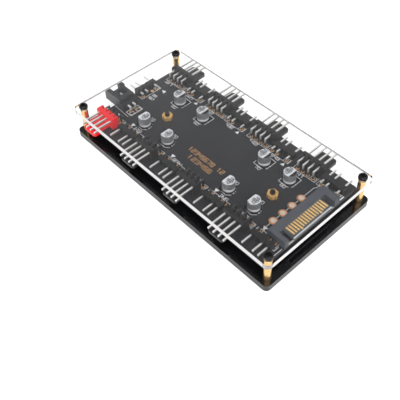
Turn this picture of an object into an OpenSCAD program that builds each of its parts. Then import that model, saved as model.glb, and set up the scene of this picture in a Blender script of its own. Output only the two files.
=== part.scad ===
// Fan splitter: a hub board with eight fan ports and eight light ports,
// held between a black base plate and a clear cover plate on four brass pillars.
// Millimetres, +Z up. The origin is the middle of the base plate's underside.
// The long side runs along X, the supply plug is at the +X end,
// the control plug and the light input are at the -X end.

/* [Plates] */
// length of both plates along X
plate_l = 109.5; // [106:0.5:114]
// width of both plates along Y
plate_w = 56.7; // [55:0.1:60]
// corner radius of both plates
plate_r = 2; // [1:0.5:4]
// thickness of the black base plate
base_t = 2.8; // [2.4:0.1:4]
// thickness of the clear cover plate
cover_t = 2.1; // [1.8:0.1:3]

/* [Pillars and screws] */
// outside diameter of the brass pillars
pillar_d = 3; // [2.8:0.1:3.2]
// distance of the pillar middle from the short plate side
pillar_inset_x = 3; // [2.6:0.1:3.2]
// distance of the pillar middle from the long plate side
pillar_inset_y = 3.3; // [3:0.1:3.5]
// nominal diameter of all screws
screw_d = 2; // [1.8:0.1:2.2]
// diameter of the pan heads on the cover plate
head_d = 3.6; // [3.2:0.1:4]
// height of the pan heads
head_h = 1.3; // [1:0.1:1.6]

/* [Board] */
// bare plate beyond the board at each short side
board_edge_x = 4.75; // [4.5:0.05:5.5]
// bare plate beyond the board at each long side
board_edge_y = 3.35; // [3.2:0.05:4]
// thickness of the board
board_t = 1.6; // [1.2:0.1:2]
// height of the spacers below the board
spacer_h = 3; // [2.5:0.1:5]
// height of the tallest part on the board, the capacitors
tall_h = 5.1; // [5:0.1:6]

/* [Headers] */
// distance between neighbouring pins
pitch = 2.54; // [2.5:0.01:2.54]
// side of the square pins
pin_s = 0.64; // [0.5:0.02:0.68]
// height of a fan header wall above the board
fan_wall_h = 5.2; // [4.6:0.1:5.2]
// depth of a fan header wall
fan_wall_t = 3.2; // [3:0.1:3.4]
// height of the fan pins above the board
fan_pin_h = 3.7; // [3.3:0.1:3.9]
// thickness of the locking tab that lies on the board
tab_t = 1.25; // [1:0.05:1.4]
// height and depth of the light header strips
strip_s = 2.5; // [2.4:0.05:2.6]

/* [Control plug] */
// length of the control plug along X
box_l = 10.4; // [9.6:0.1:11]
// width of the control plug along Y
box_w = 7.4; // [6.8:0.1:8]

/* [Supply plug] */
// length of the supply plug along Y
plug_l = 29.5; // [29:0.1:29.8]
// height of the plug bar above the board
plug_h = 3.4; // [3.2:0.1:4]

/* [Capacitors] */
// diameter of the capacitor cans
can_d = 5; // [4.6:0.1:5.2]

/* [Hidden] */
$fn = 48;
fit = 0.01;
slip = 0.1;
board_l = plate_l - 2 * board_edge_x;
board_w = plate_w - 2 * board_edge_y;
cover_gap = 0.3;
pillar_h = spacer_h + board_t + tall_h + cover_gap;
z_board = base_t + spacer_h;
z_deck = z_board + board_t;
z_cover = base_t + pillar_h;
z_lid = z_cover + cover_t;
pillar_x = plate_l / 2 - pillar_inset_x;
pillar_y = plate_w / 2 - pillar_inset_y;
bore_d = screw_d + slip;
hole_d = screw_d + 2 * slip;
sink_d = screw_d + 1.8;
sink_h = 1;
corners = [[-1, -1], [1, -1], [1, 1], [-1, 1]];

// the two board fixings
fix_pts = [[-0.284 * board_l, -0.4], [0.31 * board_l, -0.4]];
nut_af = 2 * screw_d;
nut_h = 0.8 * screw_d;
// how far the board screws stand out of their nuts
screw_out = 1;
nut_e = nut_af / cos(30);

// port rows: one fan header and one light header in every step
port_n = 4;
port_step = 0.248 * board_l;
front_x = -0.436 * board_l;
back_x = -0.423 * board_l;
front_light_dx = 0.118 * board_l;
back_light_dx = 0.115 * board_l;
head_w = 4 * pitch;
// from the board's edge to the inner face of a fan header
fan_depth = 7.3;
fan_in = board_w / 2 - fan_depth;
fan_out = fan_in + fan_wall_t;
fan_run = 2.05;
fan_leg = fan_in - fan_run;
tab_l = 7.6;
tab_end = fan_out + tab_l;
fan_tip = tab_end + 0.7;
tab_w = 3 * pitch;
tab_r = 1.2;
// the headers of the back row stand a little further out
back_shift = 1;
// comb on the inner face of a fan header: a slot for each pin
comb_t = 1.5;
comb_gap = 1.3;
comb_foot = 1.1;
// from the board's edge to the inner face of a light header,
// which keeps clear of the supply plug between the rows
strip_depth = 7.8;
strip_run = 1.5;
strip_pin_l = 4.6;
plug_shift = 0.3;
plug_clear = 0.3;
strip_in = max(board_w / 2 - strip_depth,
  plug_l / 2 + plug_shift + plug_clear + pin_s / 2 + strip_run);
strip_out = strip_in + strip_s;
strip_leg = strip_in - strip_run;
strip_tip = strip_out + strip_pin_l;
strip_pin_h = strip_s / 2 + 0.02;
tail_drop = 1.2;
via_d = 1.02 + max(0, 1.4143 * (pin_s - 0.64));
// places that carry a pin on a light header, the third one stays bare
keys = [0, 1, 3];

// light input at the left end: the same strip header, turned outwards
input_x = -board_l / 2 - 0.1;
input_y = 1;
input_shift = strip_out + input_x;

// control plug at the left end, it reaches past the plates
box_x0 = -plate_l / 2 - 1.55;
box_h = tall_h;
box_y = -7.4;
box_wall = 0.9;
box_floor = 1.6;
box_lid = 0.6;
box_step_l = 2;
box_step_h = 2.9;
box_flange_l = 3.1;
box_flange_t = 0.8;
bridge_w = 0.6;
win_l = 7.4;
win_near = 1.8;
win_far = 2.2;
box_pin_h = 2.2;
box_pin_dy = 1.25;
box_tip_x = box_x0 + 3.9;
box_leg_x = box_x0 + box_l + box_step_l + 1.7;

// supply plug at the right end
plug_y = -plug_shift;
plug_depth = 8;
plug_x0 = board_l / 2 - plug_depth;
plug_bar = 3.7;
arm_near_w = 1.9;
arm_far_w = 3;
arm_l = 8.4;
arm_gap = 2.2;
tongue_l = 8.9;
tongue_x1 = plug_x0 + tongue_l;
tongue_y0 = plug_y - plug_l / 2 + arm_near_w + arm_gap;
tongue_y1 = plug_y + plug_l / 2 - arm_far_w - arm_gap;
tongue_top = plug_h - 0.7;
tongue_t = 1.2;
blade_n = 15;
blade_near = 1.47;
blade_far = 0.95;
blade_step = (tongue_y1 - tongue_y0 - blade_near - blade_far) / (blade_n - 1);
blade_w = 0.6 * blade_step;
groove_w = blade_step - blade_w - 0.16;
blade_t = 0.25;
blade_rise = 0.1;
blade_y0 = tongue_y0 + blade_near;
blade_x1 = tongue_x1 - 1.2;
// the two ground blades reach further out
blade_long = [3, 11];
blade_more = 0.5;
key_w = 1.2;

// solder mounds behind the supply plug
mound_d = 3;
mound_h = 0.25;
mound_x = plug_x0 - 2.8;
mound_y0 = -0.175 * board_w;
mound_step = 2 * pitch;

// capacitors
can_foot = 0.7;
can_base = can_d + 0.3;
can_x = [-0.318 * board_l, -0.176 * board_l, 0.172 * board_l, 0.303 * board_l];
can_y = 0.192 * board_w;

// shared helpers
module rounded(l, w, r) {
  square([l - 2 * r, w], center = true);
  square([l, w - 2 * r], center = true);
  for (c = corners)
    translate([c[0] * (l / 2 - r), c[1] * (w / 2 - r)]) circle(r = r);
}

module box(x0, x1, y0, y1, z0, z1) {
  translate([x0, y0, z0]) cube([x1 - x0, y1 - y0, z1 - z0]);
}

module at_corners() {
  for (c = corners) translate([c[0] * pillar_x, c[1] * pillar_y, 0]) children();
}

module at_fixings() {
  for (p = fix_pts) translate([p[0], p[1], 0]) children();
}

// a row header drawn for the back row is turned round for the front row
module at_front(x) {
  translate([x, 0, z_deck]) rotate([0, 0, 180]) children();
}

module at_back(x) {
  translate([x, back_shift, z_deck]) children();
}

module at_input() {
  translate([input_shift, input_y + 1.5 * pitch, z_deck]) rotate([0, 0, 90]) children();
}

// flat head screw, its head flush with z = 0, its end at z = l
module sunk_screw(l) {
  color([0.10, 0.10, 0.11]) difference() {
    union() {
      cylinder(d1 = sink_d, d2 = screw_d, h = sink_h);
      cylinder(d = screw_d, h = l);
    }
    for (a = [0, 90]) rotate([0, 0, a])
      box(-1, 1, -0.25, 0.25, -1, 0.7);
  }
}

module sunk_hole() {
  translate([0, 0, -1]) cylinder(d = hole_d, h = base_t + 2);
  cylinder(d1 = sink_d + 2 * slip, d2 = hole_d, h = sink_h);
}

module base_plate() {
  color([0.10, 0.10, 0.11]) difference() {
    linear_extrude(base_t) rounded(plate_l, plate_w, plate_r);
    at_corners() sunk_hole();
    at_fixings() sunk_hole();
  }
}

module cover_plate() {
  color([0.85, 0.88, 0.90, 0.35]) translate([0, 0, z_cover]) difference() {
    linear_extrude(cover_t) rounded(plate_l, plate_w, plate_r);
    at_corners() translate([0, 0, -1]) cylinder(d = hole_d, h = cover_t + 2);
  }
}

module pillar(i) {
  c = corners[i];
  color([0.80, 0.66, 0.42]) translate([c[0] * pillar_x, c[1] * pillar_y, base_t])
    rotate_extrude() polygon([
      [bore_d / 2, 0], [pillar_d / 2 - 0.15, 0], [pillar_d / 2, 0.15],
      [pillar_d / 2, pillar_h - 0.15], [pillar_d / 2 - 0.15, pillar_h], [bore_d / 2, pillar_h]]);
}

module pan_screw() {
  color([0.12, 0.12, 0.13]) difference() {
    union() {
      translate([0, 0, -cover_t - 3]) cylinder(d = screw_d, h = cover_t + 3);
      rotate_extrude() polygon([[0, 0], [head_d / 2, 0], [head_d / 2, 0.6 * head_h],
        [0.46 * head_d, 0.8 * head_h], [0.38 * head_d, 0.94 * head_h],
        [0.25 * head_d, head_h], [0, head_h]]);
    }
    for (a = [0, 90]) rotate([0, 0, a])
      box(-0.3 * head_d, 0.3 * head_d, -0.27, 0.27, head_h - 0.7, head_h + 1);
  }
}

module cover_screws() {
  at_corners() translate([0, 0, z_lid]) rotate([0, 0, 20]) pan_screw();
}

module base_screws() {
  at_corners() sunk_screw(base_t + 3);
}

module board_screws() {
  at_fixings() sunk_screw(z_deck + nut_h + screw_out);
}

module board_spacers() {
  color([0.75, 0.63, 0.42]) at_fixings() translate([0, 0, base_t]) difference() {
    cylinder(d = nut_af, h = spacer_h);
    translate([0, 0, -1]) cylinder(d = bore_d, h = spacer_h + 2);
  }
}

module board_nuts() {
  color([0.83, 0.68, 0.42]) at_fixings() translate([0, 0, z_deck]) difference() {
    cylinder(d = nut_e, h = nut_h, $fn = 6);
    translate([0, 0, -1]) cylinder(d = bore_d, h = nut_h + 2);
  }
}

// every hole that takes a pin leg
module leg_holes(leg, places) {
  for (k = places) translate([(k - 1.5) * pitch, leg, -board_t - 1])
    cylinder(d = via_d, h = board_t + 2);
}

module board() {
  all = [0, 1, 2, 3];
  color([0.20, 0.20, 0.22]) difference() {
    translate([0, 0, z_board]) linear_extrude(board_t) rounded(board_l, board_w, 0.4);
    at_fixings() translate([0, 0, z_board - 1]) cylinder(d = hole_d, h = board_t + 2);
    for (i = [0 : port_n - 1]) {
      at_front(front_x + i * port_step) leg_holes(fan_leg, all);
      at_back(back_x + i * port_step) leg_holes(fan_leg, all);
      at_front(front_x + front_light_dx + i * port_step) leg_holes(strip_leg, keys);
      at_back(back_x + back_light_dx + i * port_step) leg_holes(strip_leg, keys);
    }
    at_input() leg_holes(strip_leg, keys);
    for (s = [-1, 1]) translate([box_leg_x, box_y + s * box_pin_dy, z_board - 1])
      cylinder(d = via_d, h = board_t + 2);
  }
}

// one bent square pin: a level run from y0 to y1 and a leg down through the board
module bent_pin(x, leg, tip, h) {
  r = pin_s / 2;
  box(x - r, x + r, leg - r, tip, h - r, h + r);
  box(x - r, x + r, leg - r, leg + r, -board_t - tail_drop, h + r);
}

module pin_slots(y0, y1, h) {
  r = pin_s / 2 + fit;
  for (k = [0 : 3]) box((k - 1.5) * pitch - r, (k - 1.5) * pitch + r, y0 - 1, y1 + 1, h - r, h + r);
}

module fan_body(c) {
  tab_x = pitch / 2;
  color(c) difference() {
    union() {
      // wall that carries the pins, with a bevel along its top edges
      translate([-head_w / 2, 0, 0]) rotate([90, 0, 90]) linear_extrude(head_w) polygon([
        [fan_in, 0], [fan_out, 0], [fan_out, fan_wall_h - 0.3], [fan_out - 0.3, fan_wall_h],
        [fan_in + 0.2, fan_wall_h], [fan_in, fan_wall_h - 0.2]]);
      // locking tab that lies on the board and reaches past its edge
      translate([tab_x, 0, 0]) {
        box(-tab_w / 2, tab_w / 2, fan_out - 1, tab_end - tab_r, 0, tab_t);
        box(-tab_w / 2 + tab_r, tab_w / 2 - tab_r, fan_out - 1, tab_end, 0, tab_t);
        for (s = [-1, 1]) translate([s * (tab_w / 2 - tab_r), tab_end - tab_r, 0])
          cylinder(r = tab_r, h = tab_t);
        // catch near the end of the tab
        translate([-tab_w / 2 + 1.4, 0, 0]) rotate([90, 0, 90]) linear_extrude(tab_w - 2.8)
          polygon([[tab_end - 1.7, tab_t - 0.2], [tab_end - 0.5, tab_t - 0.2],
            [tab_end - 0.5, tab_t], [tab_end - 1, tab_t + 0.4], [tab_end - 1.7, tab_t + 0.4]]);
      }
    }
    // comb: a slot behind each pin, open to the top and to the inner side
    for (k = [0 : 3]) box((k - 1.5) * pitch - comb_gap / 2, (k - 1.5) * pitch + comb_gap / 2,
      fan_in - 1, fan_in + comb_t, comb_foot, fan_wall_h + 1);
    pin_slots(fan_in, fan_out, fan_pin_h);
  }
}

module fan_pins() {
  color([0.86, 0.86, 0.86]) for (k = [0 : 3])
    bent_pin((k - 1.5) * pitch, fan_leg, fan_tip, fan_pin_h);
}

module light_body() {
  color([0.13, 0.13, 0.14]) difference() {
    box(-head_w / 2, head_w / 2, strip_in, strip_out, 0, strip_s);
    // parting grooves between the four places
    for (k = [-1 : 1]) for (y = [strip_in, strip_out])
      translate([k * pitch, y, -1]) rotate([0, 0, 45])
        translate([-0.35, -0.35, 0]) cube([0.7, 0.7, strip_s + 2]);
    pin_slots(strip_in, strip_out, strip_pin_h);
  }
}

module light_pins() {
  color([0.86, 0.83, 0.74]) for (k = keys)
    bent_pin((k - 1.5) * pitch, strip_leg, strip_tip, strip_pin_h);
}

// control plug: a shrouded two pin plug, its mouth towards -X
module control_plug() {
  x1 = box_x0 + box_l;
  y0 = box_y - box_w / 2;
  y1 = box_y + box_w / 2;
  r = pin_s / 2 + fit;
  color([0.16, 0.16, 0.17]) translate([0, 0, z_deck]) difference() {
    union() {
      box(box_x0, x1, y0, y1, 0, box_h);
      // low step behind the shroud, the pins leave through it
      box(x1 - 1, x1 + box_step_l, y0, y1, 0, box_step_h);
      // flange beside the mouth
      box(box_x0, box_x0 + box_flange_l, y1 - 1, y1 + box_flange_t, 0, box_h);
    }
    // cavity, open at the mouth
    box(box_x0 - 1, x1 - 2, y0 + box_wall, y1 - box_wall, box_floor, box_h - box_lid);
    // window in the lid, behind a thin bridge
    box(box_x0 + bridge_w, box_x0 + bridge_w + win_l, box_y - win_near, box_y + win_far,
      box_h - 1, box_h + 1);
    for (s = [-1, 1]) box(x1 - 3, x1 + box_step_l + 1, box_y + s * box_pin_dy - r,
      box_y + s * box_pin_dy + r, box_pin_h - r, box_pin_h + r);
  }
}

module control_pins() {
  color([0.86, 0.86, 0.86]) for (s = [-1, 1])
    translate([0, box_y + s * box_pin_dy, z_deck]) rotate([0, 0, 90])
      bent_pin(0, -box_leg_x, -box_tip_x, box_pin_h);
}

// supply plug: bar along Y, two arms and a tongue with the contact blades
module supply_plug() {
  y0 = plug_y - plug_l / 2;
  y1 = plug_y + plug_l / 2;
  x1 = plug_x0 + plug_bar;
  bevel = 0.3;
  color([0.22, 0.23, 0.26]) translate([0, 0, z_deck]) difference() {
    union() {
      // bar with a bevel along its back edge
      translate([0, y1, 0]) rotate([90, 0, 0]) linear_extrude(plug_l) polygon([
        [plug_x0, 0], [x1, 0], [x1, plug_h], [plug_x0 + bevel, plug_h], [plug_x0, plug_h - bevel]]);
      box(x1 - 1, plug_x0 + arm_l, y0, y0 + arm_near_w, 0, plug_h);
      box(x1 - 1, plug_x0 + arm_l, y1 - arm_far_w, y1, 0, plug_h);
      box(x1 - 1, tongue_x1, tongue_y0, tongue_y1, tongue_top - tongue_t, tongue_top);
      // key at the far end of the tongue
      box(x1 - 1, tongue_x1, tongue_y1 - key_w, tongue_y1, 0.5, tongue_top);
    }
    // groove between neighbouring blades
    for (k = [1 : blade_n - 1]) translate([0, blade_y0 + (k - 0.5) * blade_step, 0])
      box(x1 + 0.3, blade_x1 - 0.4, -groove_w / 2, groove_w / 2, tongue_top - 0.4, tongue_top + 1);
    blade_row(fit);
  }
}

module blade_row(c) {
  for (k = [0 : blade_n - 1]) translate([0, blade_y0 + k * blade_step, 0])
    box(plug_x0 + plug_bar - 1 - c,
      blade_x1 + c + (k == blade_long[0] || k == blade_long[1] ? blade_more : 0),
      -blade_w / 2 - c, blade_w / 2 + c,
      tongue_top + blade_rise - blade_t - c, tongue_top + blade_rise + c);
}

module supply_blades() {
  color([0.86, 0.70, 0.44]) translate([0, 0, z_deck]) blade_row(0);
}

module capacitor(x, y, turn) {
  b = can_base / 2;
  k = 1.1;
  r = can_d / 2;
  color([0.72, 0.73, 0.74]) translate([x, y, z_deck]) {
    rotate([0, 0, turn]) linear_extrude(can_foot) polygon([
      [-b, -b], [b - k, -b], [b, -b + k], [b, b - k], [b - k, b], [-b, b]]);
    rotate_extrude() polygon([[0, can_foot - 0.2], [r - 0.1, can_foot - 0.2], [r, can_foot + 0.1],
      [r, 1.3], [r - 0.2, 1.45], [r - 0.2, 1.65], [r, 1.8],
      [r, tall_h - 0.2], [r - 0.2, tall_h], [0, tall_h]]);
  }
}

module mound() {
  rotate_extrude() polygon([[0, 0], [mound_d / 2, 0], [mound_d / 2, 0.1],
    [0.4 * mound_d, 0.8 * mound_h], [0.25 * mound_d, mound_h], [0, mound_h]]);
}

// the first mound is open in the middle
module power_pads() {
  color([0.88, 0.80, 0.72]) for (k = [0 : 3])
    translate([mound_x, mound_y0 + k * mound_step, z_deck]) difference() {
      mound();
      if (k == 0) translate([0, 0, -1]) cylinder(d = 0.3 * mound_d, h = mound_h + 2);
    }
}

red = [0.91, 0.11, 0.19];
grey = [0.20, 0.20, 0.21];

base_plate();
board();
pillar(0);  // pillar_1
pillar(1);  // pillar_2
pillar(2);  // pillar_3
pillar(3);  // pillar_4
cover_screws();
base_screws();
board_screws();
board_spacers();
board_nuts();
at_front(front_x) fan_body(red);  // fan_front_1
at_front(front_x + port_step) fan_body(grey);  // fan_front_2
at_front(front_x + 2 * port_step) fan_body(grey);  // fan_front_3
at_front(front_x + 3 * port_step) fan_body(grey);  // fan_front_4
at_back(back_x) fan_body(grey);  // fan_back_1
at_back(back_x + port_step) fan_body(grey);  // fan_back_2
at_back(back_x + 2 * port_step) fan_body(grey);  // fan_back_3
at_back(back_x + 3 * port_step) fan_body(grey);  // fan_back_4
at_front(front_x) fan_pins();  // fan_pins_front_1
at_front(front_x + port_step) fan_pins();  // fan_pins_front_2
at_front(front_x + 2 * port_step) fan_pins();  // fan_pins_front_3
at_front(front_x + 3 * port_step) fan_pins();  // fan_pins_front_4
at_back(back_x) fan_pins();  // fan_pins_back_1
at_back(back_x + port_step) fan_pins();  // fan_pins_back_2
at_back(back_x + 2 * port_step) fan_pins();  // fan_pins_back_3
at_back(back_x + 3 * port_step) fan_pins();  // fan_pins_back_4
at_front(front_x + front_light_dx) light_body();  // light_front_1
at_front(front_x + front_light_dx + port_step) light_body();  // light_front_2
at_front(front_x + front_light_dx + 2 * port_step) light_body();  // light_front_3
at_front(front_x + front_light_dx + 3 * port_step) light_body();  // light_front_4
at_back(back_x + back_light_dx) light_body();  // light_back_1
at_back(back_x + back_light_dx + port_step) light_body();  // light_back_2
at_back(back_x + back_light_dx + 2 * port_step) light_body();  // light_back_3
at_back(back_x + back_light_dx + 3 * port_step) light_body();  // light_back_4
at_input() light_body();  // light_input
at_front(front_x + front_light_dx) light_pins();  // light_pins_front_1
at_front(front_x + front_light_dx + port_step) light_pins();  // light_pins_front_2
at_front(front_x + front_light_dx + 2 * port_step) light_pins();  // light_pins_front_3
at_front(front_x + front_light_dx + 3 * port_step) light_pins();  // light_pins_front_4
at_back(back_x + back_light_dx) light_pins();  // light_pins_back_1
at_back(back_x + back_light_dx + port_step) light_pins();  // light_pins_back_2
at_back(back_x + back_light_dx + 2 * port_step) light_pins();  // light_pins_back_3
at_back(back_x + back_light_dx + 3 * port_step) light_pins();  // light_pins_back_4
at_input() light_pins();  // light_pins_input
control_plug();
control_pins();
supply_plug();
supply_blades();
capacitor(can_x[0], -can_y, 0);  // capacitor_1
capacitor(can_x[1], -can_y, 0);  // capacitor_2
capacitor(can_x[2], -can_y, 0);  // capacitor_3
capacitor(can_x[3], -can_y, 0);  // capacitor_4
capacitor(can_x[0], can_y, 180);  // capacitor_5
capacitor(can_x[1], can_y, 180);  // capacitor_6
capacitor(can_x[2], can_y, 180);  // capacitor_7
capacitor(can_x[3], can_y, 180);  // capacitor_8
power_pads();
cover_plate();
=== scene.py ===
import math

import bmesh
import bpy
from mathutils import Matrix, Vector


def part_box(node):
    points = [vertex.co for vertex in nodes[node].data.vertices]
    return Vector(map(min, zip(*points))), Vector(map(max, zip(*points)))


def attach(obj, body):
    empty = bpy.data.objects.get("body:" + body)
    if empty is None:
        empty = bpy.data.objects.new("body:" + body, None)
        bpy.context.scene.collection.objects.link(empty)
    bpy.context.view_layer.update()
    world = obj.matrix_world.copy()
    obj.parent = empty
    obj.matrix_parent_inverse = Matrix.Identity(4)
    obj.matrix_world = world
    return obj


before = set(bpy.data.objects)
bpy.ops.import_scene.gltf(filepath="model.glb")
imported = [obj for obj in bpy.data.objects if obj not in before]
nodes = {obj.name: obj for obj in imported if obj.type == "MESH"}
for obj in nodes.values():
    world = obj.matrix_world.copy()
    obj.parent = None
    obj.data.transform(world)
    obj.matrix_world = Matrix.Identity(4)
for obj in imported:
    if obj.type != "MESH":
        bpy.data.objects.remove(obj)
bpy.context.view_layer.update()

MM = 0.001
scene = bpy.context.scene


# ---- shader tools ----

class Sock:
    """A shader socket that can be used in plain expressions."""

    def __init__(self, mat, out):
        self.mat, self.out = mat, out

    def _m(self, op, *args):
        return self.mat.node("ShaderNodeMath", args, operation=op)

    def __add__(self, o): return self._m("ADD", self, o)
    def __radd__(self, o): return self._m("ADD", o, self)
    def __sub__(self, o): return self._m("SUBTRACT", self, o)
    def __rsub__(self, o): return self._m("SUBTRACT", o, self)
    def __mul__(self, o): return self._m("MULTIPLY", self, o)
    def __rmul__(self, o): return self._m("MULTIPLY", o, self)
    def __abs__(self): return self._m("ABSOLUTE", self)
    def above(self, v): return self._m("GREATER_THAN", self, v)
    def below(self, v): return self._m("LESS_THAN", self, v)
    def most(self, o): return self._m("MAXIMUM", self, o)
    def least(self, o): return self._m("MINIMUM", self, o)
    def power(self, o): return self._m("POWER", self, o)

    def within(self, a, b):
        """0 at a and 1 at b, held at both ends."""
        return self.mat.node("ShaderNodeMapRange", {
            "Value": self, "From Min": a, "From Max": b}, clamp=True)


# the Mix node's sockets for colours
MIX_FACTOR, MIX_A, MIX_B, MIX_OUT = 0, 6, 7, 2
# how far a face may lean and still count as level: upward part of its normal
LEANING, LEVEL = 0.3, 0.7


class Finish:
    """One procedural material with a Principled shader."""

    def __init__(self, name, rough, metal=0.0, **fixed):
        self.m = bpy.data.materials.new(name)
        self.m.use_nodes = True
        self.t = self.m.node_tree
        self.t.nodes.clear()
        self.out = self.t.nodes.new("ShaderNodeOutputMaterial")
        self.p = self.shader(Roughness=rough, Metallic=metal, **fixed)
        self.t.links.new(self.p.outputs[0], self.out.inputs[0])
        self.where = self.node("ShaderNodeTexCoord", out="Object")

    def shader(self, **fixed):
        """A Principled shader; an underscore in a name stands for a space."""
        p = self.t.nodes.new("ShaderNodeBsdfPrincipled")
        for key, value in fixed.items():
            p.inputs[key.replace("_", " ")].default_value = value
        return p

    def feed(self, socket, value):
        """Link a Sock, or fill in a constant."""
        if isinstance(value, Sock):
            self.t.links.new(value.out, socket)
        else:
            socket.default_value = value

    def node(self, kind, sockets=(), out=0, **settings):
        """Add a node; its sockets are given by name or in their order."""
        n = self.t.nodes.new(kind)
        for key, value in settings.items():
            setattr(n, key, value)
        pairs = sockets.items() if isinstance(sockets, dict) else enumerate(sockets)
        for key, value in pairs:
            self.feed(n.inputs[key], value)
        return Sock(self, n.outputs[out])

    def split(self, source):
        n = self.t.nodes.new("ShaderNodeSeparateXYZ")
        self.t.links.new(source.out, n.inputs[0])
        return [Sock(self, s) for s in n.outputs]

    def xyz(self):
        return self.split(self.where)

    def normal(self):
        return self.split(self.node("ShaderNodeNewGeometry", out="Normal"))

    def level(self):
        """1 on level faces and 0 on upright ones."""
        return abs(self.normal()[2]).within(LEANING, LEVEL)

    def noise(self, size_mm, detail, stretch=None):
        spot = self.where
        if stretch:
            spot = self.node("ShaderNodeVectorMath", (spot, stretch), operation="MULTIPLY")
        return self.node("ShaderNodeTexNoise", {
            "Vector": spot, "Scale": 1 / (size_mm * MM), "Detail": detail})

    def mix(self, factor, a, b):
        n = self.t.nodes.new("ShaderNodeMix")
        n.data_type = "RGBA"
        self.feed(n.inputs[MIX_FACTOR], factor)
        for key, value in ((MIX_A, a), (MIX_B, b)):
            self.feed(n.inputs[key], value if isinstance(value, Sock) else (*value, 1))
        return Sock(self, n.outputs[MIX_OUT])

    def set(self, name, value):
        self.feed(self.p.inputs[name], value)

    def bump(self, height, strength, depth_mm):
        self.set("Normal", self.node("ShaderNodeBump", {
            "Height": height, "Strength": strength, "Distance": depth_mm * MM}))

    def blend(self, factor, low, high):
        """Mix Shader of two shader outputs, led to the surface."""
        n = self.t.nodes.new("ShaderNodeMixShader")
        self.t.links.new(factor.out, n.inputs[0])
        self.t.links.new(low, n.inputs[1])
        self.t.links.new(high, n.inputs[2])
        self.t.links.new(n.outputs[0], self.out.inputs[0])
        return n.outputs[0]


def srgb(*rgb):
    """Linear colour of three screen values from 0 to 255."""
    def linear(c):
        return c / 12.92 if c <= 0.04045 else ((c + 0.055) / 1.055) ** 2.4
    return tuple(linear(c / 255) for c in rgb)


# ---- finishes ----

def shades(colour, spread):
    """A darker and a lighter shade of one colour."""
    return (tuple(c * (1 - spread) for c in colour),
            tuple(min(1, c * (1 + spread) + 0.002) for c in colour))


def moulded(name, rough, dark, light):
    """Moulded plastic: fine grain, faint flow marks and a little change in gloss."""
    f = Finish(name, rough)
    flow = f.noise(3.0, 3)
    f.skin = f.mix(flow, dark, light)
    f.set("Base Color", f.skin)
    f.set("Roughness", rough - 0.06 + flow * 0.12)
    f.bump(f.noise(0.08, 2), 0.25, 0.01)
    return f


def metal(name, colour, tint, rough, metallic, stain_mm=1.2, marks_mm=0.1, stretch=None):
    """Metal with a slight stain and drawn or turned marks."""
    f = Finish(name, rough, metallic)
    stain = f.noise(stain_mm, 3)
    f.set("Base Color", f.mix(stain, colour, tint))
    f.set("Roughness", rough - 0.08 + stain * 0.16)
    f.bump(f.noise(marks_mm, 2, stretch), 0.3, 0.008)
    return f


def printed(name, rough, metallic, speck_mm, one, other):
    """Ink or thin copper with fine specks."""
    f = Finish(name, rough, metallic)
    speck = f.noise(speck_mm, 2)
    f.set("Base Color", f.mix(speck, one, other))
    f.bump(speck, 0.2, 0.005)
    return f


# base plate: glossy black acrylic with sawn, slightly greyer edges
base_black = Finish("base_black", 0.08)
haze = base_black.noise(14, 3)
edge = 1 - base_black.level()
face = base_black.mix(haze, srgb(12, 12, 14), srgb(18, 18, 20))
base_black.set("Base Color", base_black.mix(edge, face, srgb(20, 20, 22)))
base_black.set("Roughness", 0.06 + haze * 0.06 + edge * 0.2)
base_black.bump(base_black.noise(30, 1), 0.02, 0.02)

# cover: clear faces and corners, frosted white edges, and open to the lamp's light
CLEAR_X, CLEAR_Y, CLEAR_RUN = 51.9, 25.5, 0.6
clear = Finish("clear_cover", 0.0, Transmission_Weight=1.0, IOR=1.49)
mist = clear.noise(20, 2)
clear.set("Base Color", clear.mix(mist, (0.985, 0.99, 0.99), (0.995, 0.995, 0.995)))
clear.bump(mist, 0.01, 0.03)
frost = clear.shader(Roughness=0.5, Transmission_Weight=0.12)
saw = clear.noise(0.4, 2, (1.0, 1.0, 0.1))
clear.feed(frost.inputs["Base Color"], clear.mix(saw, srgb(222, 219, 220), srgb(240, 237, 238)))
x, y, z = clear.xyz()
polished = (abs(x).within(CLEAR_X * MM, (CLEAR_X + CLEAR_RUN) * MM)
            * abs(y).within(CLEAR_Y * MM, (CLEAR_Y + CLEAR_RUN) * MM))
body = clear.blend(clear.level().most(polished), frost.outputs[0], clear.p.outputs[0])
through = clear.t.nodes.new("ShaderNodeBsdfTransparent")
clear.blend(clear.node("ShaderNodeLightPath", out="Is Shadow Ray"), body, through.outputs[0])

# board: satin black mask over faint copper lanes, with a near-white band along the top of its end
# face at the plug end
PALE_BAND_X, PALE_BAND_Z, PALE_BAND_MID, PALE_BAND_HALF = 49.9, 6.85, -0.55, 12.3
mask_black = Finish("board_mask", 0.5)
weave = mask_black.noise(0.35, 2)
cloud = mask_black.noise(9, 3)
edge = 1 - mask_black.level()
top = mask_black.mix(cloud, srgb(23, 23, 29), srgb(31, 31, 38))
top = mask_black.mix(edge, top, srgb(46, 45, 44))
x, y, z = mask_black.xyz()
# a near-white band along the upper part of the board's end face by the plug
pale_end_band = x.above(PALE_BAND_X * MM) * abs(y - PALE_BAND_MID * MM).below(PALE_BAND_HALF * MM) * z.above(PALE_BAND_Z * MM)
mask_black.set("Base Color", mask_black.mix(edge * pale_end_band, top, srgb(226, 224, 220)))
mask_black.set("Roughness", 0.42 + cloud * 0.12 + edge * 0.3)
lanes = mask_black.node("ShaderNodeTexWave", {
    "Vector": mask_black.where, "Scale": 90.0, "Distortion": 0.4}, 1,
    wave_type="BANDS", bands_direction="X")
mask_black.bump(weave + 0.6 * lanes, 0.03, 0.01)

nut_brass = metal("nut_brass", srgb(252, 206, 132), srgb(236, 182, 108), 0.26, 0.55)
brass = metal("turned_brass", srgb(246, 210, 150), srgb(222, 172, 106), 0.22, 0.95,
              1.0, 0.5, (1.0, 1.0, 0.12))
gold = metal("plated_gold", srgb(255, 222, 158), srgb(240, 194, 128), 0.3, 0.4)


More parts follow.
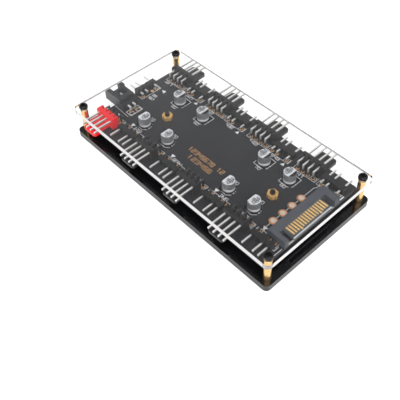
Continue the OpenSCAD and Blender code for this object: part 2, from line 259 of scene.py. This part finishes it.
def wire_finish(name, axis, lit_to, shaded_from):
    """Tinned wire with painted shade: the sides facing along x are painted darker, and the part
    past a given place on an axis is painted darker still.
    """
    f = Finish(name, 0.3)
    stain = f.noise(1.2, 3)
    # painted shade: the sides that face along x are coloured darker
    shaded_sides = abs(f.normal()[0]).above(0.6)
    # painted shade past a given place on the axis, fading in from the lit part
    shaded_part = f.xyz()[axis].within(lit_to * MM, shaded_from * MM)
    bright = f.mix(stain, srgb(252, 251, 250), srgb(232, 230, 228))
    bright = f.mix(shaded_sides * 0.7, bright, srgb(96, 94, 94))
    f.set("Base Color", f.mix(shaded_part * 0.9, bright, srgb(50, 48, 48)))
    # the painted-shade part is also made more metallic, so it mirrors the dark board
    f.set("Metallic", 0.4 + shaded_part * 0.55)
    f.set("Roughness", 0.24 + stain * 0.14)
    f.bump(f.noise(0.1, 2), 0.2, 0.008)
    return f


ALONG_Y, ALONG_Z = 1, 2
# painted shade: front pins darker inside their header wall, back and low pins darker towards the
# board
tin_front = wire_finish("tinned_wire_front", ALONG_Y, -20.6, -18.6)
tin_back = wire_finish("tinned_wire_back", ALONG_Z, 10.4, 8.6)
tin_low = wire_finish("tinned_wire_low", ALONG_Z, 8.4, 7.9)

# solder mounds: pale in the middle, orange at the rim
PAD_X = 39.2
PAD_Y = (-8.8, -3.8, 1.2, 6.3)
RIM_IN, RIM_OUT = 0.95, 1.15
solder = Finish("solder", 0.34, 0.55)
x, y, z = solder.xyz()
dx = x - PAD_X * MM
reach = None
for at in PAD_Y:
    dy = y - at * MM
    away_from = (dx * dx + dy * dy).power(0.5)
    reach = away_from if reach is None else reach.least(away_from)
lumps = solder.noise(0.8, 3)
pale = solder.mix(lumps, srgb(253, 242, 234), srgb(242, 214, 190))
rim = reach.within(RIM_IN * MM, RIM_OUT * MM)
solder.set("Base Color", solder.mix(rim, pale, srgb(232, 164, 116)))
solder.set("Roughness", 0.28 + lumps * 0.16)
solder.bump(lumps, 0.3, 0.02)

screw_black = Finish("black_oxide", 0.35, 0.4)
worn = screw_black.noise(0.8, 3)
screw_black.set("Base Color", screw_black.mix(worn, srgb(10, 10, 11), srgb(26, 26, 28)))
screw_black.set("Roughness", 0.28 + worn * 0.2)
screw_black.bump(screw_black.noise(0.1, 2), 0.2, 0.01)

red = moulded("header_red", 0.42, *shades(srgb(246, 22, 34), 0.05))
grey = moulded("header_grey", 0.42, *shades(srgb(20, 19, 22), 0.12))
black = moulded("header_black", 0.45, *shades(srgb(14, 14, 17), 0.14))
plug_black = moulded("plug_black", 0.42, *shades(srgb(32, 33, 37), 0.1))

# drive power plug: grey, with a painted highlight along the tip of its tongue
TIP_X, TIP_DEEP, TIP_OVER, TIP_MID, TIP_HALF = 50.5, 0.35, 0.05, -0.85, 10.2
BLADE_RISE = 0.1
plug_grey = moulded("plug_grey", 0.4, srgb(72, 76, 83), srgb(81, 85, 92))
tongue_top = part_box("supply_blades")[1].z - BLADE_RISE * MM
x, y, z = plug_grey.xyz()
# painted highlight: a light band along the top of the tongue's tip
tip_highlight = x.above(TIP_X * MM) * abs(y - TIP_MID * MM).below(TIP_HALF * MM)
tip_highlight = tip_highlight * z.above(tongue_top - TIP_DEEP * MM) * z.below(tongue_top + TIP_OVER * MM)
plug_grey.set("Base Color", plug_grey.mix(tip_highlight, plug_grey.skin, srgb(206, 206, 208)))

# heights on a can: top of its foot, its flat top, and the bead above the foot, on which a
# highlight is painted
FOOT_TOP, CAN_TOP, BEAD_HIGHLIGHT = 8.12, 12.3, 0.5
SECTOR_FROM = 1.3


def can_finish(name, cx, side):
    """Aluminium sleeve on a black foot, its flat top with one black sector; a painted highlight on
    the bead and painted light on the flat top.
    """
    f = Finish(name, 0.3, 1.0)
    x, y, z = f.xyz()
    top = z.above(CAN_TOP * MM)
    bead_highlight = z.below((FOOT_TOP + BEAD_HIGHLIGHT) * MM)
    sector = ((x - cx * MM) * side).above(SECTOR_FROM * MM) * top
    dark = z.below(FOOT_TOP * MM).most(sector)
    brushed = f.noise(0.5, 3, (1.0, 1.0, 0.1))
    sleeve = f.mix(brushed, srgb(170, 172, 177), srgb(200, 202, 206))
    # painted highlight: the bead above the foot is coloured near white
    sleeve = f.mix(bead_highlight, sleeve, srgb(244, 245, 247))
    # painted light: the flat top is coloured lighter than the sleeve, as light from above falls on
    # it
    sleeve = f.mix(top, sleeve, srgb(230, 232, 237))
    f.set("Base Color", f.mix(dark, sleeve, srgb(7, 7, 9)))
    # less metallic on the painted top and bead, so their painted light shows; not metallic on the
    # black foot and sector
    f.set("Metallic", (0.85 - top.most(bead_highlight) * 0.6) * (1 - dark))
    f.set("Roughness", 0.3 - dark * 0.08 + brushed * 0.08 + top * 0.12 * (1 - dark))
    f.bump(f.noise(0.12, 2), 0.15, 0.01)
    return f


ink = printed("white_print", 0.6, 0.0, 0.15, srgb(226, 226, 228), srgb(250, 250, 252))
stamp = printed("dark_stamp", 0.55, 0.0, 0.15, srgb(20, 20, 24), srgb(44, 44, 48))
gold_print = printed("gold_print", 0.45, 0.15, 0.3, srgb(246, 192, 130), srgb(226, 168, 106))


def dress(names, finish):
    for n in names:
        materials = nodes[n].data.materials
        materials.clear()
        materials.append(finish.m)


FOUR = range(1, 5)
SIDES = {"front": -1, "back": 1}
dress(["base_plate"], base_black)
dress(["cover_plate"], clear)
dress(["board"], mask_black)
dress([f"pillar_{i}" for i in FOUR], brass)
dress(["board_spacers", "board_nuts"], nut_brass)
dress(["cover_screws", "base_screws", "board_screws"], screw_black)
dress(["fan_front_1"], red)
dress([f"fan_front_{i}" for i in FOUR[1:]] + [f"fan_back_{i}" for i in FOUR], grey)
dress([f"light_{s}_{i}" for s in SIDES for i in FOUR] + ["light_input"], black)
dress([f"{k}_pins_front_{i}" for k in ("fan", "light") for i in FOUR], tin_front)
dress([f"fan_pins_back_{i}" for i in FOUR], tin_back)
dress([f"light_pins_back_{i}" for i in FOUR] + ["light_pins_input", "control_pins"], tin_low)
dress(["control_plug"], plug_black)
dress(["supply_plug"], plug_grey)
dress(["supply_blades"], gold)
dress(["power_pads"], solder)


# ---- printed marks ----

# line widths in mm
W_FINE, W_THIN, W_LINE, W_WIDE = 0.18, 0.2, 0.22, 0.25
# height of the board's top, and how far a mark's underside stays above its face
DECK, LIFT_OFF = 7.4, 0.002

# strokes of plain digits in a cell one wide and two high; a space has none
DIGITS = {
    " ": [],
    "0": [[(0, 0), (1, 0), (1, 2), (0, 2), (0, 0)]],
    "1": [[(0.2, 1.6), (0.5, 2), (0.5, 0)]],
    "2": [[(0, 2), (1, 2), (1, 1), (0, 1), (0, 0), (1, 0)]],
    "3": [[(0, 2), (1, 2), (1, 0), (0, 0)], [(0.2, 1), (1, 1)]],
    "4": [[(0, 2), (0, 1), (1, 1)], [(1, 2), (1, 0)]],
    "5": [[(1, 2), (0, 2), (0, 1), (1, 1), (1, 0), (0, 0)]],
    "6": [[(1, 2), (0, 2), (0, 0), (1, 0), (1, 1), (0, 1)]],
    "7": [[(0, 2), (1, 2), (0.5, 0)]],
    "8": [[(0, 0), (1, 0), (1, 2), (0, 2), (0, 0)], [(0, 1), (1, 1)]],
    "9": [[(1, 1), (0, 1), (0, 2), (1, 2), (1, 0), (0, 0)]],
}


def corners(x0, x1, y0, y1):
    return [(x0, y0), (x1, y0), (x1, y1), (x0, y1)]


def circle(x, y, r, n):
    turns = [2 * math.pi * k / n for k in range(n)]
    return [(x + r * math.cos(t), y + r * math.sin(t)) for t in turns]


def moved(pts, dx, dy):
    return [(x + dx, y + dy) for x, y in pts]


class Print:
    """Flat strips a few hundredths of a millimetre high on a level face."""

    def __init__(self, base, height):
        self.bm = bmesh.new()
        self.low, self.high = base + LIFT_OFF, base + height

    def slab(self, pts):
        low, high = ([self.bm.verts.new((x * MM, y * MM, z * MM)) for x, y in pts]
                     for z in (self.low, self.high))
        self.bm.faces.new(high)
        self.bm.faces.new(list(reversed(low)))
        for i in range(len(pts)):
            j = (i + 1) % len(pts)
            self.bm.faces.new((low[i], low[j], high[j], high[i]))

    def line(self, a, b, w):
        a, b = Vector(a), Vector(b)
        d = (b - a).normalized() * (w / 2)
        s = Vector((-d.y, d.x))
        self.slab([a - d - s, b + d - s, b + d + s, a - d + s])

    def path(self, pts, w, closed=False):
        pts = list(pts) + ([pts[0]] if closed else [])
        for a, b in zip(pts, pts[1:]):
            self.line(a, b, w)

    def disc(self, x, y, r):
        self.slab(circle(x, y, r, 20))

    def frame(self, x0, x1, y0, y1, w):
        self.path(corners(x0, x1, y0, y1), w, True)

    def digits(self, text, x0, x1, y0, y1, w, gap=0.35):
        """Plain digits that fill a box; the gap between them is a share of their width."""
        cell = (x1 - x0) / (len(text) + gap * (len(text) - 1))
        for k, ch in enumerate(text):
            for stroke in DIGITS[ch]:
                self.path([(x0 + (k * (1 + gap) + u) * cell, y0 + v * (y1 - y0) / 2)
                           for u, v in stroke], w)

    def done(self, name, finish):
        me = bpy.data.meshes.new(name)
        bmesh.ops.recalc_face_normals(self.bm, faces=self.bm.faces)
        self.bm.to_mesh(me)
        o = bpy.data.objects.new(name, me)
        scene.collection.objects.link(o)
        me.materials.append(finish.m)
        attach(o, "root")


def middle(low, high):
    """Middle of two of the frame's measures, in mm."""
    return (low + high) / 2 / MM


marks = Print(DECK, 0.02)
pads = Print(DECK, 0.05)
lettering = Print(DECK, 0.03)
can_marks = Print(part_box("capacitor_1")[1].z / MM, 0.015)

# cans: a broken outline, a dot and a number on the board, measured from the can's middle,
# and three rows of numbers on its top
CAN_OUTLINE = {
    -1: [[(-2.9, -1.4), (-2.9, -2.4), (1.4, -2.9), (2.9, -1.5)],
         [(2.9, 0.6), (2.1, 2.1), (0.6, 3.1), (-1.6, 3.1)]],
    1: [[(3.05, 3.4), (3.05, 0.9)],
        [(3.05, -0.5), (3.05, -1.6), (1.7, -2.9), (-2.9, -2.9), (-2.9, -1.2)],
        [(-2.9, 3.2), (-1.4, 3.6), (3.05, 3.4)]],
}
CAN_DOT, DOT_R = {-1: (2.9, -0.3), 1: (3.05, 0.2)}, 0.28
CAN_NUMBER = {-1: (-1.3, 0.9, 3.5, 4.8), 1: (-1.1, 1.2, -4.3, -3.1)}
TOP_ROWS, TOP_STEP, TOP_DIGIT_W, TOP_HALF_H, TOP_SHIFT, TOP_STROKE = (
    ("16", "220", "10"), 1.25, 0.8, 0.45, 0.75, 0.24)

for i in range(1, 9):
    lo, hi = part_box(f"capacitor_{i}")
    cx, cy = middle(lo.x, hi.x), middle(lo.y, hi.y)
    side = -1 if cy < 0 else 1
    dress([f"capacitor_{i}"], can_finish(f"can_{i}", cx, side))
    for pts in CAN_OUTLINE[side]:
        marks.path(moved(pts, cx, cy), W_LINE)
    dot_x, dot_y = CAN_DOT[side]
    marks.disc(cx + dot_x, cy + dot_y, DOT_R)
    x0, x1, y0, y1 = CAN_NUMBER[side]
    marks.digits(f"{i}0", cx + x0, cx + x1, cy + y0, cy + y1, W_THIN)
    mid = cx - side * TOP_SHIFT
    for line, text in enumerate(TOP_ROWS):
        half = TOP_DIGIT_W * len(text) / 2
        y = cy + (1 - line) * TOP_STEP
        can_marks.digits(text, mid - half, mid + half, y - TOP_HALF_H, y + TOP_HALF_H, TOP_STROKE)

# rows of headers: a pad under each leg, an outline open to the header, and a first pin mark
PITCH = 2.54
PIN_HALF = 0.32
PAD_R = 0.74
NEAR, TICK = 1.15, 0.7
FAN_SIDE, FAN_FAR = 1.6, 1.7
LIGHT_SIDE, LIGHT_FAR = 1.4, 1.5
FIRST_X, FIRST_Y = 1.15, 1.1
# triangle by a light header: x from its middle, y on the board
TRIANGLE = {
    -1: [(-4.2, -12.7), (-3.3, -14.5), (-2.2, -12.7)],
    1: [(3.1, 13.5), (4.9, 13.5), (4.15, 15.1)],
}
# place without a pin, and the first pin, of a light header
BARE_PLACE = {-1: 1, 1: 2}
FIRST_PLACE = {-1: 0, 1: 3}


def places(mid):
    return [mid + (k - 1.5) * PITCH for k in range(4)]


def legs(name, side):
    """Places of the four upright legs of a header: x of each and their y."""
    lo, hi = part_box(name)
    y = (lo.y / MM + PIN_HALF) if side > 0 else (hi.y / MM - PIN_HALF)
    return places(middle(lo.x, hi.x)), y


def outline(xs, y, side, margin, far):
    near, far = y - side * NEAR, y + side * far
    x0, x1 = xs[0] - margin, xs[3] + margin
    marks.path([(x0, far), (x0, near), (x1, near), (x1, far)], W_FINE)


def first_mark(x, y):
    marks.frame(x - FIRST_X, x + FIRST_X, y - FIRST_Y, y + FIRST_Y, W_FINE)


for s, side in SIDES.items():
    for i in FOUR:
        xs, y = legs(f"fan_pins_{s}_{i}", side)
        for x in xs:
            pads.disc(x, y, PAD_R)
        outline(xs, y, side, FAN_SIDE, FAN_FAR)
        first_mark(xs[3], y)
        for x in xs[:3]:
            tick_x, tick_y = x + PITCH / 2, y - side * NEAR
            marks.line((tick_x, tick_y), (tick_x, tick_y + side * TICK), W_FINE)

        xs, y = legs(f"light_pins_{s}_{i}", side)
        for k, x in enumerate(xs):
            if k != BARE_PLACE[side]:
                pads.disc(x, y, PAD_R)
        outline(xs, y, side, LIGHT_SIDE, LIGHT_FAR)
        first_mark(xs[FIRST_PLACE[side]], y)
        marks.slab(moved(TRIANGLE[side], (xs[0] + xs[3]) / 2, 0))

# plain numbers beside the headers: x and y from and to
NUMBERS = {
    "123": (-33.3, -29.5, -14.8, -13.3), "234": (-8.9, -4.2, -15.0, -13.7),
    "12": (-21.4, -17.6, -14.8, -13.6), "21": (4.3, 7.7, -15.2, -13.8),
    "345": (17.2, 21.0, -14.8, -13.3), "22": (28.6, 32.2, -15.0, -13.8),
    "456": (41.4, 45.4, -14.8, -13.3), "31": (-46.9, -42.2, 14.0, 15.4),
    "321": (-33.6, -29.4, 14.4, 15.6), "32": (-21.0, -17.0, 14.0, 15.3),
    "432": (-8.6, -5.0, 13.8, 15.2), "42": (4.8, 8.7, 14.0, 15.3),
    "543": (16.2, 20.2, 14.2, 15.4), "41": (29.4, 33.2, 14.0, 15.3),
}
for text, box in NUMBERS.items():
    marks.digits(text, *box, W_WIDE, 0.3)

# light input at the left end: pads, outline, first pin mark, triangle and numbers
INPUT_BARE = 1
INPUT_OUT, INPUT_IN, INPUT_END = 1.6, 1.2, 1.4
INPUT_FIRST_X, INPUT_FIRST_Y = 1.05, 1.0
lo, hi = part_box("light_pins_input")
leg = hi.x / MM - PIN_HALF
ys = places(middle(lo.y, hi.y))
for k, y in enumerate(ys):
    if k != INPUT_BARE:
        pads.disc(leg, y, PAD_R)
y0, y1 = ys[0] - INPUT_END, ys[3] + INPUT_END
marks.path([(leg - INPUT_OUT, y0), (leg + INPUT_IN, y0), (leg + INPUT_IN, y1),
            (leg - INPUT_OUT, y1)], W_THIN)
marks.frame(leg - INPUT_FIRST_X, leg + INPUT_FIRST_X,
            ys[3] - INPUT_FIRST_Y, ys[3] + INPUT_FIRST_Y, W_THIN)
marks.slab([(-43.6, 9.5), (-41.4, 8.4), (-41.5, 10.2)])
marks.digits("567", -44.0, -41.2, 2.0, 3.2, W_LINE)
marks.digits("89", -43.8, -41.8, 4.2, 5.3, W_LINE)
marks.slab([(-45.2, -13.3), (-42.4, -14.8), (-42.5, -13.1)])

# control plug: a frame with two boxes, two pads and a line beside it
BOX_STEP, BOX_HALF, FRAME_HALF = 3.4, 1.0, 3.1
lo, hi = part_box("control_pins")
leg = hi.x / MM - PIN_HALF
mid = middle(lo.y, hi.y)
marks.frame(-43.3, -40.0, mid - FRAME_HALF, mid + FRAME_HALF, W_LINE)
for k in (-0.5, 0.5):
    pads.disc(leg, mid + k * PITCH, PAD_R)
    marks.frame(-41.8, -40.2, mid + k * BOX_STEP - BOX_HALF, mid + k * BOX_STEP + BOX_HALF, W_FINE)
marks.path([(-49.6, -11.3), (-44.0, -11.6), (-40.6, -11.7)], W_THIN)

# power plug: a run through the round pads with short ticks, and lines at the board's end
RING_R, RING_N = 1.6, 28
TICK_Y, TICK_HALF = (-6.3, -1.3, 3.7), 0.6
END_X = 49.75
lo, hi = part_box("power_pads")
run_x = middle(lo.x, hi.x)
for y in PAD_Y:
    pads.path(circle(run_x, y, RING_R, RING_N), W_THIN, True)
marks.disc(run_x, PAD_Y[0], 0.45)
marks.path([(run_x + 0.9, -14.4), (run_x, -13.4), (run_x, -10.4)], W_LINE)
marks.path([(run_x, 8.0), (run_x, 13.4), (run_x + 0.6, 14.2), (run_x + 0.6, 17.0),
            (41.2, 17.3)], W_LINE)
for y in TICK_Y:
    marks.line((run_x, y - TICK_HALF), (run_x, y + TICK_HALF), W_LINE)
marks.line((END_X, -20.1), (END_X, -16.0), W_LINE)
marks.line((END_X, -13.3), (END_X, 11.0), W_LINE)
marks.slab(corners(49.4, 49.9, 15.5, 18.0))
marks.line((45.8, 17.3), (47.0, 17.3), W_WIDE)
marks.path([(47.2, -18.3), (48.4, -18.3), (48.4, -16.1)], W_LINE)
for x in (44.3, 46.7):
    marks.disc(x, -17.3, 0.3)

# two rows of plain gold digits in the middle of the board
GOLD_STROKE, GOLD_GAP = 0.23, 0.45
lettering.digits("12345678 12", -9.0, 10.2, -6.5, -4.6, GOLD_STROKE, GOLD_GAP)
lettering.digits("123456", -6.0, 6.5, -9.7, -7.8, GOLD_STROKE, GOLD_GAP)

marks.done("board_print", ink)
pads.done("board_copper", gold_print)
lettering.done("board_digits", gold_print)
can_marks.done("can_digits", stamp)


# ---- floor, room, lamp and camera ----

# floor: pale paper, lifted to white where it is looked at, so the shadow stays
LIFT, PAPER, FLOOR_HALF = 0.5, 0.72, 3.0
floor_mesh = bpy.data.meshes.new("floor")
bm = bmesh.new()
bmesh.ops.create_grid(bm, x_segments=1, y_segments=1, size=FLOOR_HALF)
bm.to_mesh(floor_mesh)
floor = bpy.data.objects.new("floor", floor_mesh)
scene.collection.objects.link(floor)
ground = Finish("floor_white", 0.9, Specular_IOR_Level=0.0)
ground.set("Base Color", (PAPER, PAPER, PAPER, 1))
seen = ground.node("ShaderNodeLightPath", out="Is Camera Ray")
for kind in ("Is Glossy Ray", "Is Transmission Ray"):
    seen = seen.most(ground.node("ShaderNodeLightPath", out=kind))
glow = ground.node("ShaderNodeEmission", {"Strength": seen * LIFT})
add = ground.t.nodes.new("ShaderNodeAddShader")
ground.t.links.new(ground.p.outputs[0], add.inputs[0])
ground.t.links.new(glow.out, add.inputs[1])
ground.t.links.new(add.outputs[0], ground.out.inputs[0])
floor_mesh.materials.append(ground.m)


class Room(Finish):
    """The world: light that depends only on its direction."""

    def __init__(self, world):
        self.t = world.node_tree
        self.where = self.node("ShaderNodeTexCoord", out="Generated")

    def toward(self, direction, edge):
        """1 where the room is seen along a direction, 0 from an edge (a cosine) on."""
        along = self.node("ShaderNodeVectorMath", (self.where, Vector(direction).normalized()),
                          "Value", operation="DOT_PRODUCT")
        return self.node("ShaderNodeMapRange", {
            "Value": along, "From Min": edge, "From Max": 1.0}, interpolation_type="SMOOTHSTEP")


# a white horizon that falls off to a dim ceiling, with one broad soft light in it
CEILING, CEILING_FROM, CEILING_TO = 0.15, 0.2, 0.9
SOFT_LIGHT, SOFT_TOWARD, SOFT_EDGE = 2.1, (0.5, -0.2, 0.83), 0.5
world = bpy.data.worlds.new("studio")
scene.world = world
world.use_nodes = True
room = Room(world)
level = 1 - room.xyz()[2].within(CEILING_FROM, CEILING_TO) * (1 - CEILING)
level = level + room.toward(SOFT_TOWARD, SOFT_EDGE) * SOFT_LIGHT
back = world.node_tree.nodes["Background"]
back.inputs[0].default_value = (1, 1, 1, 1)
room.feed(back.inputs[1], level)

# one large, weak lamp in front
LAMP_AT, LAMP_TO, LAMP_SIZE, LAMP_POWER = (0.25, -0.7, 0.6), (0, 0, 0.008), 1.0, 1.4
fill = bpy.data.lights.new("fill", "AREA")
fill.shape, fill.size, fill.energy = "SQUARE", LAMP_SIZE, LAMP_POWER
lamp = bpy.data.objects.new("fill", fill)
lamp.location = LAMP_AT
lamp.rotation_mode = "QUATERNION"
lamp.rotation_quaternion = (Vector(LAMP_TO) - Vector(LAMP_AT)).to_track_quat("-Z", "Y")
scene.collection.objects.link(lamp)

# camera at the photograph's angle: degrees, metres, and pixels of the photograph
AZ, EL, ROLL = 47.35, 45.79, -1.26
DIST, TX, TY = 267.87 * MM, -0.29 * MM, 4.76 * MM
PHOTO, FOCAL, CX, CY = 400, 665.43, 215.05, 155.03
SENSOR = 36
a, e, r = (math.radians(v) for v in (AZ, EL, ROLL))
away = Vector((math.sin(a) * math.cos(e), -math.cos(a) * math.cos(e), math.sin(e)))
right = Vector((math.cos(a), math.sin(a), 0))
up = away.cross(right)
right, up = (right * math.cos(r) + up * math.sin(r), up * math.cos(r) - right * math.sin(r))
lens = bpy.data.cameras.new("camera")
lens.sensor_width = SENSOR
lens.lens = FOCAL / PHOTO * SENSOR
lens.shift_x = (PHOTO / 2 - CX) / PHOTO
lens.shift_y = (CY - PHOTO / 2) / PHOTO
lens.clip_start, lens.clip_end = 0.01, 20
cam = bpy.data.objects.new("camera", lens)
cam.location = away * DIST + right * TX + up * TY
cam.rotation_mode = "QUATERNION"
cam.rotation_quaternion = Matrix([[right[k], up[k], away[k]] for k in range(3)]).to_quaternion()
scene.collection.objects.link(cam)
scene.camera = cam

scene.view_settings.view_transform = "Standard"
